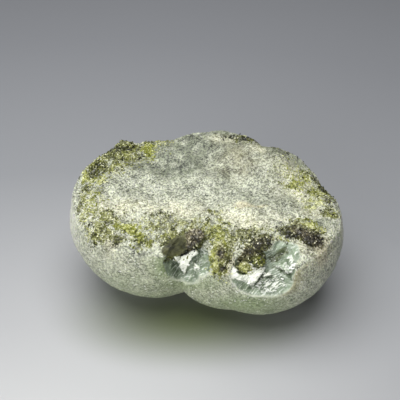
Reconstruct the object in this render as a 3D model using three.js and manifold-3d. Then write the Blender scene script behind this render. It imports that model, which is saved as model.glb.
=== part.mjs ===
// Raw prehnite: two balls of radiating crystals that grew into one another, with a swelling low at the
// front and another at the back between them. A worn, hummocky face is broken across the top, epidote grew
// along its rim, and two chips are knocked out of the front.
// Millimetres, +Z up. The origin is under the middle of the stone, on the surface that it rests on.
import * as THREE from 'three'
import { mergeVertices } from 'three/addons/utils/BufferGeometryUtils.js'
import Module from 'manifold-3d'

// The lobes that make the stone. Their undersides reach a little below zero and are worn flat there.
const LOBES = [
  { name: 'left ball', x: -9.7, y: 0.7, z: 15.4, radius: 15.8 },
  { name: 'right ball', x: 9.9, y: -4.0, z: 15.2, radius: 15.5 },
  { name: 'front swelling', x: 5.1, y: -4.0, z: 13.2, radius: 13.3 },
  { name: 'back swelling', x: 1.2, y: 4.8, z: 14.9, radius: 14.7 },
]
const LOBE_DETAIL = 6
const DOMES_PER_LOBE = 26
const DOME_HEIGHT = 0.45
const DOME_SPREAD = 0.46

// The worn top face: a tilted plane that falls away in front of its shoulder, with mounds and hollows.
const TOP = { height: 21.4, tilt: 0.06, shoulder: -5.4, fall: 0.2, rounding: 3 }
const MOUNDS = [
  { name: 'back peak', x: 3, y: 14.6, wide: 9, deep: 8, rise: 3.2 },
  { name: 'right back shoulder', x: 13.5, y: 9.2, wide: 4, deep: 5, rise: 2.8 },
  { name: 'back left rim', x: -16.5, y: 11, wide: 5, deep: 4, rise: 1.1 },
  { name: 'right back fall', x: 21.5, y: 10, wide: 6, deep: 8, rise: -2.2 },
  { name: 'left hollow', x: -11.8, y: 8.2, wide: 3, deep: 2.2, rise: -0.8 },
  { name: 'middle hollow', x: -6, y: 6.8, wide: 3.2, deep: 2.2, rise: -0.8 },
  { name: 'peak hollow', x: -0.5, y: 9.6, wide: 2.4, deep: 3, rise: -1.0 },
  { name: 'right hollow', x: 5, y: 5.1, wide: 3, deep: 2.4, rise: -0.6 },
  { name: 'left bench', x: -13, y: -5, wide: 6, deep: 2.6, rise: 0.6 },
  { name: 'right bench', x: 9, y: -6, wide: 5, deep: 2.6, rise: 0.7 },
  { name: 'front right rim', x: 14, y: -13.4, wide: 6, deep: 4, rise: 1.5 },
]
const HUMMOCKS = { height: 0.34, length: 9, fine: 1.6 }
const RIM = { drop: 0.8, reach: 1.6 }

// The chips: overlapping scars with flat facets, where flakes were knocked off, so that ledges part them.
const SCARS = [
  { name: 'left chip', x: -3.9, y: -16.9, z: 16.0, wide: 4.5, deep: 5.0, tall: 4.7, seed: 11 },
  { name: 'left chip right facet', x: -1.2, y: -18.6, z: 17.2, wide: 2.5, deep: 4.6, tall: 3.6, seed: 29 },
  { name: 'right chip', x: 10.6, y: -22.4, z: 17.9, wide: 6.8, deep: 7.8, tall: 6.4, seed: 23 },
  { name: 'right chip upper flake', x: 15.0, y: -18.8, z: 21.8, wide: 4.6, deep: 5.3, tall: 4.8, seed: 37 },
  { name: 'right chip terrace', x: 12.4, y: -21.8, z: 14.6, wide: 5.0, deep: 4.9, tall: 3.4, seed: 41 },
]
const SCAR_DETAIL = 2
const FACET_JITTER = 0.07

// Masses of epidote that stand out of the rim and hang into the chips.
const MASSES = [
  { name: 'left chip wall', x: -4.8, y: -12.0, z: 19.3, wide: 4.7, deep: 1.7, tall: 1.7, turn: -0.42, seed: 3 },
  { name: 'hanging wedge', x: 2.8, y: -15.8, z: 18.9, wide: 2.0, deep: 2.2, tall: 4.0, turn: 0.05, seed: 5 },
  { name: 'right chip overhang', x: 8.6, y: -14.8, z: 19.6, wide: 3.7, deep: 2.3, tall: 2.3, turn: -0.25, seed: 7 },
  { name: 'lower epidote ball', x: 7.0, y: -16.9, z: 16.6, wide: 1.2, deep: 1.2, tall: 1.2, turn: 0, seed: 9 },
  { name: 'upper epidote ball', x: 9.8, y: -17.1, z: 18.4, wide: 1.3, deep: 1.2, tall: 1.3, turn: 0, seed: 13 },
  { name: 'right dark mass', x: 19.6, y: -13.2, z: 19.8, wide: 2.4, deep: 1.7, tall: 1.4, turn: 0.3, seed: 17 },
  { name: 'back left lump', x: -14.8, y: 12.6, z: 22.9, wide: 1.9, deep: 1.4, tall: 1.1, turn: 0.1, seed: 19 },
  { name: 'left corner lump', x: -21.0, y: 6.6, z: 21.2, wide: 1.2, deep: 1.3, tall: 0.9, turn: 0, seed: 31 },
]
const MASS_JITTER = 0.18

// Patches of epidote on the top face and its rim, with grains and prisms lying this way and that.
const PATCHES = [
  { name: 'back left band', x: -15.5, y: 11.8, wide: 4.8, deep: 2.4, count: 20, length: 2.3 },
  { name: 'left corner', x: -20.4, y: 6.0, wide: 2.6, deep: 3.4, count: 11, length: 2.1 },
  { name: 'left rim', x: -22.6, y: -1.4, wide: 1.4, deep: 4.8, count: 11, length: 2.2 },
  { name: 'front left brown', x: -19.2, y: -8.8, wide: 2.1, deep: 1.8, count: 9, length: 2.0 },
  { name: 'front left yellow', x: -13.2, y: -11.6, wide: 4.2, deep: 1.5, count: 13, length: 2.0 },
  { name: 'front band', x: -5.5, y: -10.8, wide: 3.6, deep: 1.4, count: 10, length: 1.9 },
  { name: 'wedge top', x: 3.0, y: -13.6, wide: 2.8, deep: 1.5, count: 10, length: 1.9 },
  { name: 'right dark patch', x: 16.4, y: -13.2, wide: 3.4, deep: 1.5, count: 14, length: 2.4 },
  { name: 'right rim', x: 22.3, y: -4.4, wide: 1.5, deep: 4.8, count: 14, length: 2.2 },
  { name: 'right back rim', x: 19.4, y: 5.2, wide: 2.8, deep: 2.8, count: 14, length: 2.1 },
  { name: 'back strip', x: 8.4, y: 12.6, wide: 5.4, deep: 1.3, count: 12, length: 2.1 },
]
const PRISM_EVERY = 3
const PRISM = { sides: 5, slenderness: 0.2, taper: 0.7, lift: 0.5 }
const GRAIN = { slenderness: 0.42, jitter: 0.22 }
const SUNK = 0.12

const REACH = 80

const wasm = await Module()
wasm.setup()

// The same number between 0 and 1 for the same n every time.
function chance(n) {
  const wave = Math.sin(n * 12.9898 + 4.1414) * 43758.5453
  return wave - Math.floor(wave)
}

function gauss(distance) {
  return Math.exp(-0.5 * distance * distance)
}

// How high the lobes reach over a point of the floor.
function lobeTop(x, y) {
  let highest = 0
  for (const lobe of LOBES) {
    const rest = lobe.radius ** 2 - (x - lobe.x) ** 2 - (y - lobe.y) ** 2
    if (rest > 0) {
      highest = Math.max(highest, lobe.z + Math.sqrt(rest))
    }
  }
  return highest
}

function hummock(x, y) {
  const turns = 2 * Math.PI / HUMMOCKS.length
  const broad = Math.sin(x * turns + 1.3) * Math.sin(0.9 * y * turns + 0.4)
  const crossed = (x - 0.4 * y) * turns * HUMMOCKS.fine
  const fine = Math.sin(crossed + 2) * Math.sin((y + 0.3 * x) * turns * HUMMOCKS.fine)
  return HUMMOCKS.height * (broad + 0.7 * fine)
}

// The height of the worn face, which is rounded over where it meets the lobes.
function topHeight(x, y) {
  const past = TOP.shoulder - y
  const beyond = 0.5 * (past + Math.hypot(past, TOP.rounding))
  let height = TOP.height + TOP.tilt * y - TOP.fall * beyond + hummock(x, y)
  for (const mound of MOUNDS) {
    height += mound.rise * gauss(Math.hypot((x - mound.x) / mound.wide, (y - mound.y) / mound.deep))
  }
  const inside = Math.max(0, lobeTop(x, y) - height)
  return height - RIM.drop * Math.exp(-inside / RIM.reach)
}

function solidOf(geometry) {
  geometry.deleteAttribute('normal')
  geometry.deleteAttribute('uv')
  const merged = mergeVertices(geometry)
  const vertProperties = new Float32Array(merged.attributes.position.array)
  const triVerts = new Uint32Array(merged.index.array)
  return new wasm.Manifold(new wasm.Mesh({ numProp: 3, vertProperties, triVerts }))
}

// The triangles of the outer skin. A pocket closed in under a grain is a smaller skin, and is filled.
function outerSkin(corners) {
  const leader = []
  const leaderOf = (i) => {
    while ((leader[i] ?? i) !== i) {
      i = leader[i]
    }
    return i
  }
  for (let i = 0; i < corners.length; i += 3) {
    leader[leaderOf(corners[i + 1])] = leaderOf(corners[i])
    leader[leaderOf(corners[i + 2])] = leaderOf(corners[i])
  }
  const skins = new Map()
  for (let i = 0; i < corners.length; i += 3) {
    const skin = leaderOf(corners[i])
    skins.set(skin, [...(skins.get(skin) ?? []), corners[i], corners[i + 1], corners[i + 2]])
  }
  return [...skins.values()].sort((a, b) => b.length - a.length)[0]
}

function geometryOf(solid) {
  const mesh = solid.getMesh()
  const geometry = new THREE.BufferGeometry()
  geometry.setAttribute('position', new THREE.BufferAttribute(mesh.vertProperties, 3))
  geometry.setIndex(outerSkin(mesh.triVerts))
  return geometry
}

// Moves every point of a geometry with a function that changes a vector in place.
function shape(geometry, change) {
  const places = geometry.attributes.position
  const point = new THREE.Vector3()
  for (let i = 0; i < places.count; i += 1) {
    point.fromBufferAttribute(places, i)
    change(point)
    places.setXYZ(i, point.x, point.y, point.z)
  }
  return geometry
}

// Directions spaced evenly over a ball, along a spiral from pole to pole.
function spiralDirection(i, count) {
  const golden = Math.PI * (3 - Math.sqrt(5))
  const rise = 1 - 2 * (i + 0.5) / count
  const across = Math.sqrt(1 - rise * rise)
  return new THREE.Vector3(across * Math.cos(golden * i), across * Math.sin(golden * i), rise)
}

// A ball with low domes over it, as radiating crystals end in them.
function lobeSolid(lobe, number) {
  const domes = []
  for (let i = 0; i < DOMES_PER_LOBE; i += 1) {
    const rise = DOME_HEIGHT * (0.4 + 0.6 * chance(number * 100 + i))
    domes.push({ direction: spiralDirection(i, DOMES_PER_LOBE), rise })
  }
  const ball = shape(new THREE.IcosahedronGeometry(1, LOBE_DETAIL), (point) => {
    let radius = lobe.radius - 0.5 * DOME_HEIGHT
    for (const dome of domes) {
      const away = point.angleTo(dome.direction) / DOME_SPREAD
      radius += dome.rise * Math.max(0, 1 - away * away)
    }
    point.multiplyScalar(radius)
  })
  ball.translate(lobe.x, lobe.y, lobe.z)
  return solidOf(ball)
}

// Everything above the worn top face.
function topCutter() {
  const box = new THREE.BoxGeometry(60, 48, 2, 34, 27, 1)
  return solidOf(shape(box, (point) => {
    point.z = point.z < 0 ? topHeight(point.x, point.y) : REACH
  }))
}

function baseCutter() {
  const box = new THREE.BoxGeometry(REACH, REACH, REACH)
  box.translate(0, 0, -0.5 * REACH)
  return solidOf(box)
}

// A ball of the given detail whose corners are moved in and out, which leaves flat facets that differ.
function facetedBall(detail, jitter, seed) {
  return shape(new THREE.IcosahedronGeometry(1, detail), (point) => {
    const key = Math.round(point.x * 97) + Math.round(point.y * 89) * 3 + Math.round(point.z * 83) * 7
    point.multiplyScalar(1 + jitter * (2 * chance(key + seed) - 1))
  })
}

// A scar or a mass, at its place and size.
function roughSolid(spec, detail, jitter) {
  const ball = facetedBall(detail, jitter, spec.seed)
  ball.scale(spec.wide, spec.deep, spec.tall)
  ball.rotateY(spec.turn ?? 0)
  ball.translate(spec.x, spec.y, spec.z)
  return solidOf(ball)
}

function grainSolid(place, heading, length, seed) {
  const width = GRAIN.slenderness * length
  const grain = facetedBall(0, GRAIN.jitter, seed)
  grain.scale(0.5 * length, width, width)
  grain.rotateZ(heading)
  grain.translate(place.x, place.y, place.z)
  return solidOf(grain)
}

// A prism with a narrower end, lying half sunk in the surface.
function prismSolid(place, heading, lift, length) {
  const width = PRISM.slenderness * length
  const prism = new THREE.CylinderGeometry(PRISM.taper * width, width, length, PRISM.sides, 1)
  prism.rotateX(0.5 * Math.PI - lift)
  prism.rotateZ(heading)
  prism.translate(place.x, place.y, place.z)
  return solidOf(prism)
}

function patchCrystals(patch, number) {
  const crystals = []
  for (let i = 0; i < patch.count; i += 1) {
    const key = number * 150 + i * 5
    const out = Math.sqrt(chance(key))
    const around = 2 * Math.PI * chance(key + 1)
    const x = patch.x + patch.wide * out * Math.cos(around)
    const y = patch.y + patch.deep * out * Math.sin(around)
    const z = Math.min(topHeight(x, y), lobeTop(x, y)) - SUNK
    const heading = 2 * Math.PI * chance(key + 2)
    const length = patch.length * (0.7 + 0.6 * chance(key + 3))
    if (i % PRISM_EVERY === 0) {
      crystals.push(prismSolid({ x, y, z }, heading, PRISM.lift * chance(key + 4), length))
    } else {
      crystals.push(grainSolid({ x, y, z }, heading, length, key + 4))
    }
  }
  return crystals
}

function stoneSolid() {
  let stone = LOBES.map(lobeSolid).reduce((joined, lobe) => joined.add(lobe))
  stone = stone.subtract(topCutter())
  for (const scar of SCARS) {
    stone = stone.subtract(roughSolid(scar, SCAR_DETAIL, FACET_JITTER))
  }
  for (const mass of MASSES) {
    stone = stone.add(roughSolid(mass, 1, MASS_JITTER))
  }
  for (const crystal of PATCHES.flatMap(patchCrystals)) {
    stone = stone.add(crystal)
  }
  return stone.subtract(baseCutter())
}

const finish = new THREE.MeshStandardMaterial({ color: 0xa6ac98, roughness: 0.6, metalness: 0 })
const stone = new THREE.Mesh(geometryOf(stoneSolid()), finish)
stone.name = 'prehnite_stone'

const group = new THREE.Group()
group.add(stone)

export default group
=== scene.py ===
# %% [markdown]
# # Raw prehnite
# A stone for the palm of the hand: two balls of pale green prehnite that grew into one another, with a
# worn face across the top, a rim of epidote crystals and two glassy chips at the front. The frame gives
# the exact box of the stone, and every size below is in millimetres of the real thing.

# %% Frame and units
import math

import bpy
import numpy as np
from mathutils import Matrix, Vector, noise


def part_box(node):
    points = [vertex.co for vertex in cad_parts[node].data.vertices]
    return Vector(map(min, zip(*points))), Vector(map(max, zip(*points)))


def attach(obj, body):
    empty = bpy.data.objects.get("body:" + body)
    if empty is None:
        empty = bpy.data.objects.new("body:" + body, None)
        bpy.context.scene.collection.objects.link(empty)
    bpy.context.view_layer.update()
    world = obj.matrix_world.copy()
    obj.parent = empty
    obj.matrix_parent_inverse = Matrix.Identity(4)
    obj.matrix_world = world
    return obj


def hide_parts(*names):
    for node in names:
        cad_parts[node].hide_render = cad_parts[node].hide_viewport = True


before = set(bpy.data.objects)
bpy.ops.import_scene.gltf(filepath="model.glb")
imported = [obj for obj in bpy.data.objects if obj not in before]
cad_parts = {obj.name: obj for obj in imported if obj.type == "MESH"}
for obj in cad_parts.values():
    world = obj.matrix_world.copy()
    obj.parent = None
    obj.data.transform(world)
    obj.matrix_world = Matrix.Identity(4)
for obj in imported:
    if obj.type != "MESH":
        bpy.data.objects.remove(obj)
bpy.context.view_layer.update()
STONE_NODE = "prehnite_stone"
MM = 0.001
low, high = (np.array(corner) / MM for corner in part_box(STONE_NODE))
print("the stone's box in mm:", np.round(low, 2), np.round(high, 2))

# %% [markdown]
# ## Camera
# The stone is seen from well above, by about 38 degrees, with a lens of 85 mm at arm's length. A long
# lens keeps the balls round. Placing the camera on an arc round one aimed point keeps its angle and its
# distance separate values, so that each can be matched alone.

# %% Camera
CAMERA_HEIGHT_DEG = 38.0
CAMERA_AWAY = 180.0
LENS = 85.0
AIMED = np.array([0.0, -1.4, 11.0])
# How far the middle of the picture lies from the aimed point, up and to the left, on a plane through it.
FRAMED_UP, FRAMED_LEFT = 7.4, 0.95

tilt = math.radians(CAMERA_HEIGHT_DEG)
forward = np.array([0.0, math.cos(tilt), -math.sin(tilt)])
upward = np.array([0.0, math.sin(tilt), math.cos(tilt)])
eye = AIMED - CAMERA_AWAY * forward
middle = AIMED + FRAMED_UP * upward - FRAMED_LEFT * np.array([1.0, 0.0, 0.0])
camera = bpy.data.objects.new("camera", bpy.data.cameras.new("camera"))
camera.data.lens = LENS
camera.data.clip_start = 0.01
camera.location = Vector(eye * MM)
camera.rotation_euler = Vector((middle - eye) * MM).to_track_quat("-Z", "Y").to_euler()
bpy.context.collection.objects.link(camera)
bpy.context.scene.camera = camera
print("camera at", np.round(eye, 1), "mm")

# %% [markdown]
# ## The stone's form
# Radiating prehnite grows into balls, and balls that touch go on growing as one. The numbers below are
# the real stone's: its lobes, the tilted and hummocky plane worn across its top, and the scars of the
# flakes that were knocked off. They could be sculpted by hand. Formulas were chosen instead, because
# then the relief, the colours and the crystals can all ask the same question: how deep is this point?

# %% Lobes
# Each lobe: x, y, z of its middle, and its radius.
LOBES = np.array([
    (-9.7, 0.7, 15.4, 15.8),
    (9.9, -4.0, 15.2, 15.5),
    (5.1, -4.0, 13.2, 13.3),
    (1.2, 4.8, 14.9, 14.7),
    (11.5, 4.5, 14.4, 11.6),
])


def lobe_top(x, y):
    """How high the lobes reach over a point of the floor."""
    highest = np.zeros(np.broadcast(x, y).shape)
    for lx, ly, lz, radius in LOBES:
        rest = radius**2 - (x - lx) ** 2 - (y - ly) ** 2
        highest = np.maximum(highest, np.where(rest > 0, lz + np.sqrt(np.maximum(rest, 0)), 0))
    return highest


print(len(LOBES), "lobes, which reach", round(float(lobe_top(0.0, 0.0)), 1), "mm up at the middle")

# %% The worn face
# How high the face lies, and how much it rises for each mm to the back.
TOP_HEIGHT, TOP_TILT = 21.4, 0.06
# In front of this y it falls away, by so much for each mm, and the bend between is rounded over so many mm.
SHOULDER_Y, SHOULDER_FALL, SHOULDER_ROUNDING = -5.4, 0.2, 3.0
# Each mound: x, y, its width and depth, and how far it rises. A hollow rises less than nothing.
MOUNDS = [
    (3.0, 14.6, 9.0, 8.0, 3.2),
    (13.5, 9.2, 4.0, 5.0, 2.8),
    (-16.5, 11.0, 5.0, 4.0, 1.1),
    (21.5, 10.0, 6.0, 8.0, -2.2),
    (-11.8, 8.2, 3.0, 2.2, -0.8),
    (-6.0, 6.8, 3.2, 2.2, -0.8),
    (-0.5, 9.6, 2.4, 3.0, -1.0),
    (5.0, 5.1, 3.0, 2.4, -0.6),
    (-13.0, -5.0, 6.0, 2.6, 0.6),
    (9.0, -6.0, 5.0, 2.6, 0.7),
    (14.0, -13.4, 6.0, 4.0, 1.5),
]
# The swells of the face: their height and length in mm, and how many times finer the finer ones are.
HUMMOCK_HEIGHT, HUMMOCK_LENGTH, HUMMOCK_FINE = 0.34, 9.0, 1.6
# Near its rim the face drops by up to this much, and within this reach.
RIM_DROP, RIM_REACH = 0.8, 1.6


def hummock(x, y):
    """The height of the low swells that cross the worn face in two sizes, turned and shifted so that they
    don't line up."""
    turns = 2 * math.pi / HUMMOCK_LENGTH
    broad = np.sin(x * turns + 1.3) * np.sin(0.9 * y * turns + 0.4)
    crossed = (x - 0.4 * y) * turns * HUMMOCK_FINE
    fine = np.sin(crossed + 2) * np.sin((y + 0.3 * x) * turns * HUMMOCK_FINE)
    return HUMMOCK_HEIGHT * (broad + 0.7 * fine)


def bell(x, y, spot):
    """1 in the middle of an oval spot of the worn face, falling to 0 round it."""
    return np.exp(-0.5 * (((x - spot[0]) / spot[2]) ** 2 + ((y - spot[1]) / spot[3]) ** 2))


def top_height(x, y):
    """The height of the worn face, which is rounded over where it meets the lobes."""
    past = SHOULDER_Y - y
    beyond = 0.5 * (past + np.hypot(past, SHOULDER_ROUNDING))
    height = TOP_HEIGHT + TOP_TILT * y - SHOULDER_FALL * beyond + hummock(x, y)
    for mound in MOUNDS:
        height = height + mound[4] * bell(x, y, mound)
    inside = np.maximum(0, lobe_top(x, y) - height)
    return height - RIM_DROP * np.exp(-inside / RIM_REACH)


print("the worn face lies", round(float(top_height(0.0, 0.0)), 2), "mm up at the middle")

# %% Scars and masses
# Each scar or mass: x, y, z, its half sizes, how far it turns about y, and a number that varies it.
SCARS = [
    (-4.0, -16.6, 15.4, 3.3, 5.3, 5.3, 0.0, 11),
    (-1.1, -18.2, 17.6, 2.5, 5.2, 3.9, 0.0, 29),
    (10.2, -22.4, 17.9, 6.4, 7.8, 6.4, 0.0, 23),
    (13.9, -18.8, 21.8, 3.9, 5.3, 4.8, 0.0, 37),
    (12.0, -21.8, 14.7, 4.7, 4.9, 3.3, 0.0, 41),
]
# How many flat facets a scar has, and how unevenly deep they are, as a part of its size.
SCAR_FACETS, SCAR_JITTER = 46, 0.07
MASSES = {
    "left chip wall": (-5.3, -12.3, 18.0, 3.1, 2.0, 1.75, -0.7, 3),
    "left chip top": (-1.9, -12.2, 19.4, 1.9, 1.6, 1.4, -0.6, 5),
    "hanging wedge": (2.9, -15.6, 17.8, 1.5, 2.1, 3.1, 0.05, 7),
    "right chip overhang": (8.3, -14.4, 18.9, 4.0, 1.8, 1.1, -0.75, 11),
    "lower ball": (6.9, -16.3, 16.4, 0.85, 0.9, 0.85, 0.0, 9),
    "upper ball": (9.4, -15.8, 17.6, 1.0, 1.0, 1.0, 0.0, 13),
    "right dark shelf": (15.6, -11.6, 20.5, 1.9, 1.1, 0.75, 0.3, 23),
    "right dark mass": (18.7, -12.9, 20.2, 1.65, 1.45, 1.2, 0.3, 17),
    "back left lump": (-15.6, 12.2, 22.9, 1.7, 1.4, 1.1, 0.1, 19),
    "left corner lump": (-20.8, 6.0, 21.4, 1.2, 1.3, 0.9, 0.0, 31),
}
# The same for a mass.
MASS_FACETS, MASS_JITTER = 30, 0.12
# Where a mass is broken off flat, the y of that face.
BROKEN_FRONTS = {"left chip wall": -13.1, "left chip top": -13.6, "right chip overhang": -15.6}
print(len(SCARS), "scars and", len(MASSES), "masses, of which", len(BROKEN_FRONTS), "are broken off flat")


# %% Facets
def chance(n):
    """The same number between 0 and 1 for the same n every time: the far digits of a sine look random."""
    wave = np.sin(np.asarray(n, dtype=float) * 12.9898 + 4.1414) * 43758.5453
    return wave - np.floor(wave)


def spiral(count):
    """Directions spaced evenly over a ball."""
    i = np.arange(count)
    rise = 1 - 2 * (i + 0.5) / count
    across = np.sqrt(1 - rise**2)
    around = math.pi * (3 - math.sqrt(5)) * i
    return np.stack([across * np.cos(around), across * np.sin(around), rise], axis=1)


def in_ball(x, y, z, spec):
    """Where a point lies in a scar or mass that is stretched into a ball of radius 1."""
    bx, by, bz, wide, deep, tall, turn, _ = spec
    dx, dy, dz = x - bx, y - by, z - bz
    across = dx * math.cos(turn) - dz * math.sin(turn)
    rise = dx * math.sin(turn) + dz * math.cos(turn)
    return across / wide, dy / deep, rise / tall


def faceted(x, y, z, spec, facets, jitter):
    """About how many mm a point lies outside a scar or mass with flat facets."""
    u, v, w = in_ball(x, y, z, spec)
    out = np.full(np.broadcast(u, v, w).shape, -1.0, dtype=np.float32)
    for k, (a, b, c) in enumerate(spiral(facets)):
        edge = 1 + jitter * (2 * float(chance(spec[7] * 31 + k)) - 1)
        out = np.maximum(out, a * u + b * v + c * w - edge)
    return out * min(spec[3:6])


def mass_field(name, x, y, z):
    """How far a point lies outside a mass, with its front broken off flat where it has one."""
    away = faceted(x, y, z, MASSES[name], MASS_FACETS, MASS_JITTER)
    if name in BROKEN_FRONTS:
        away = np.maximum(away, BROKEN_FRONTS[name] - y)
    return away


print("the middle of the worn face lies", round(float(mass_field("lower ball", 0.0, 0.0, TOP_HEIGHT)), 1),
      "mm outside the lower ball")

# %% [markdown]
# ## Marks in the chips
# Where a flake broke away, thin plates of the stone stay behind, white from the air in the cracks under
# them, and dark cracks and glassy facets lie between. They could be loose pieces laid on the stone, but
# then light would show between them. Here each is an outline, in mm across and up as the camera sees
# it, and the floor of the chip is raised or sunk inside it.

# %% Marks in the chips
# A raised plate stands up further at its foot than at its head, by this many mm for each mm between,
# but stays a little deeper than the skin round the chip.
PLATE_LEAN, PLATE_INSET = 0.2, 0.45
# Each mark: its outline, how far it stands up in mm, how white it is and how dark.
MARKS = {
    "feather": (
        ((-5.9, -3.4), (-5.0, -3.4), (-3.5, -3.0), (-2.2, -2.0), (-1.4, -0.9), (-0.8, -0.1),
         (-0.3, -0.2), (-0.8, -1.1), (-1.4, -2.0), (-1.2, -2.7), (-2.2, -3.5), (-2.7, -4.2),
         (-3.3, -5.1), (-3.5, -6.2), (-3.9, -6.8), (-4.2, -6.2), (-4.9, -5.3), (-4.8, -4.5),
         (-5.6, -4.1)),
        0.5, 1.0, 0.0),
    "splinter": (
        ((-2.4, -4.2), (-1.4, -5.0), (-0.7, -5.6), (-1.1, -6.2), (-1.5, -5.8), (-1.9, -6.0),
         (-2.0, -5.1)),
        0.35, 0.9, 0.0),
    "white shelf": (
        ((5.2, -4.9), (5.9, -5.6), (6.3, -6.6), (7.1, -6.8), (8.0, -6.7), (8.6, -6.0), (8.6, -4.8),
         (8.3, -4.4), (9.3, -4.7), (10.1, -5.1), (11.0, -5.2), (11.4, -5.6), (11.3, -6.3), (10.6, -6.8),
         (10.2, -7.4), (9.9, -8.2), (9.4, -8.4), (8.7, -8.6), (8.3, -8.4), (7.9, -8.0), (6.5, -7.9),
         (5.7, -7.6), (4.6, -7.7), (4.2, -7.9), (4.1, -7.5), (4.6, -6.6), (5.0, -5.9)),
        0.9, 1.0, 0.0),
    "second plate": (
        ((11.0, -7.0), (11.4, -6.4), (12.0, -6.3), (13.1, -6.7), (12.5, -7.0), (11.4, -7.2)),
        0.35, 1.0, 0.0),
    "upper flakes": (
        ((13.6, -5.2), (14.4, -5.6), (15.5, -6.1), (16.5, -6.3), (17.0, -5.5), (17.3, -4.1),
         (17.4, -2.5), (16.7, -2.6), (16.1, -3.3), (15.8, -4.4), (14.7, -4.8), (14.1, -4.7)),
        0.2, 0.25, 0.0),
    "terraces": (
        ((9.7, -8.1), (10.6, -7.5), (12.5, -7.1), (13.6, -6.8), (15.8, -8.1), (15.0, -9.0),
         (13.3, -10.0), (10.9, -10.2), (9.9, -9.6)),
        0.0, 0.4, 0.0),
    "grey facet": (
        ((-0.8, -3.0), (0.8, -4.1), (0.5, -6.2), (-0.8, -5.1), (-1.9, -3.9)),
        -0.2, 0.05, 0.3),
    "low glass": (
        ((-4.9, -6.4), (-3.9, -6.8), (-2.8, -5.6), (-1.9, -6.1), (-0.5, -5.9), (0.2, -6.6), (-1.2, -7.6),
         (-3.2, -7.9), (-4.7, -7.3)),
        0.0, 0.2, 0.0),
    "streaked side": (
        ((-0.3, -0.1), (1.4, -0.2), (1.2, -3.2), (0.0, -2.7), (-1.1, -1.5)),
        0.0, 0.15, 0.25),
    "dark pool": (
        ((-7.2, -4.2), (-6.1, -4.2), (-5.0, -4.9), (-4.9, -5.7), (-4.3, -6.8), (-5.2, -7.2),
         (-6.4, -6.6), (-7.0, -5.4)),
        -0.1, 0.0, 0.1),
    "lower left glass": (
        ((5.6, -7.9), (8.0, -8.1), (8.6, -8.7), (9.7, -8.6), (9.8, -9.6), (9.5, -10.4), (7.9, -10.2),
         (6.4, -9.3)),
        -0.1, 0.32, 0.0),
    "upper glass": (
        ((12.0, -3.2), (13.3, -3.0), (14.1, -1.9), (15.5, -1.3), (16.1, -2.7), (14.7, -3.3),
         (13.9, -4.4), (12.5, -4.4)),
        0.0, 0.0, 0.95),
    "long crack": (
        ((10.1, -8.1), (10.3, -7.5), (11.0, -6.4), (11.4, -6.1), (11.3, -6.7), (10.6, -7.4)),
        -0.25, 0.0, 0.8),
    "branch crack": (
        ((10.2, -7.6), (11.2, -7.2), (12.5, -7.0), (13.3, -6.8), (12.5, -7.3), (11.2, -7.5)),
        -0.2, 0.0, 0.7),
    "dark ledge": (
        ((12.8, -5.3), (13.2, -4.9), (13.9, -5.3), (14.6, -5.5), (15.4, -6.3), (16.6, -6.4),
         (16.3, -6.8), (15.2, -6.7), (14.4, -6.0), (13.6, -5.6), (12.9, -5.6)),
        -0.2, 0.0, 0.6),
}
# The dark wall of the left chip, and the brown crystals right of it.
WALL = ((-8.4, -2.2), (-6.1, 0.0), (-3.8, 1.0), (-3.5, -1.6), (-3.8, -3.0), (-5.6, -3.2), (-7.2, -3.4),
        (-8.0, -3.0))
BROWN_TOP = ((-3.8, 1.0), (-2.4, 1.9), (-0.8, 1.8), (0.0, 0.7), (-0.8, -0.1), (-1.4, -0.8), (-2.2, -1.7),
             (-2.7, -2.3), (-3.4, -2.6), (-3.5, -1.6))
print(len(MARKS), "marks, with", sum(len(mark[0]) for mark in MARKS.values()), "corners in all")


# %% Outlines as the camera sees them
def seen(x, y, z):
    """Where points appear from the camera, in mm across and up from the aimed point."""
    away = (y - eye[1]) * forward[1] + (z - eye[2]) * forward[2]
    grow = CAMERA_AWAY / away
    return x * grow, ((y - eye[1]) * upward[1] + (z - eye[2]) * upward[2]) * grow


def outside(outline, across, up):
    """How far a point lies outside an outline, and less than nothing inside it."""
    nearest = np.full(np.broadcast(across, up).shape, 99.0)
    within = np.zeros(nearest.shape, dtype=bool)
    for (ax, ay), (bx, by) in zip(outline, outline[1:] + outline[:1]):
        share = ((across - ax) * (bx - ax) + (up - ay) * (by - ay)) / ((bx - ax) ** 2 + (by - ay) ** 2)
        share = np.clip(share, 0, 1)
        away = np.hypot(across - ax - share * (bx - ax), up - ay - share * (by - ay))
        nearest = np.minimum(nearest, away)
        if ay != by:
            within ^= ((ay > up) != (by > up)) & (across < ax + (bx - ax) * (up - ay) / (by - ay))
    return np.where(within, -nearest, nearest)


print("the middle of the worn face is seen at", np.round(seen(0.0, 0.0, TOP_HEIGHT), 1))

# %% [markdown]
# ## From a field to a mesh
# A field holds, for every point of a grid, how far it lies outside the stone. The skin is where the
# field is zero. Blender could voxel-remesh joined balls for this, but it would round every ledge by the
# same amount. A surface net keeps the ledges: each grid cell that the skin passes through gets one
# point, in the middle of where the skin crosses its edges, and each crossed grid edge gets one quad.
# The grid is finer at the top and front, which carry the detail, than underneath.

# %% Grid
# The steps of the grid in mm, and how far it goes past the stone.
GRID_X, GRID_FRONT, GRID_BACK, GRID_TOP, GRID_FOOT = 0.255, 0.225, 0.34, 0.225, 0.38
MARGIN = 1.2


def steps(first, last, start, end):
    """Grid places from first to last whose spacing goes from start to end."""
    places = [first]
    while places[-1] < last:
        share = (places[-1] - first) / (last - first)
        places.append(places[-1] + start + (end - start) * share)
    return np.array(places)


grid_x = steps(low[0] - MARGIN, high[0] + MARGIN, GRID_X, GRID_X)
grid_y = steps(low[1] - MARGIN, high[1] + MARGIN, GRID_FRONT, GRID_BACK)
grid_z = steps(-MARGIN, high[2] + MARGIN, GRID_FOOT, GRID_TOP)
print("grid:", len(grid_x), len(grid_y), len(grid_z))

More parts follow.
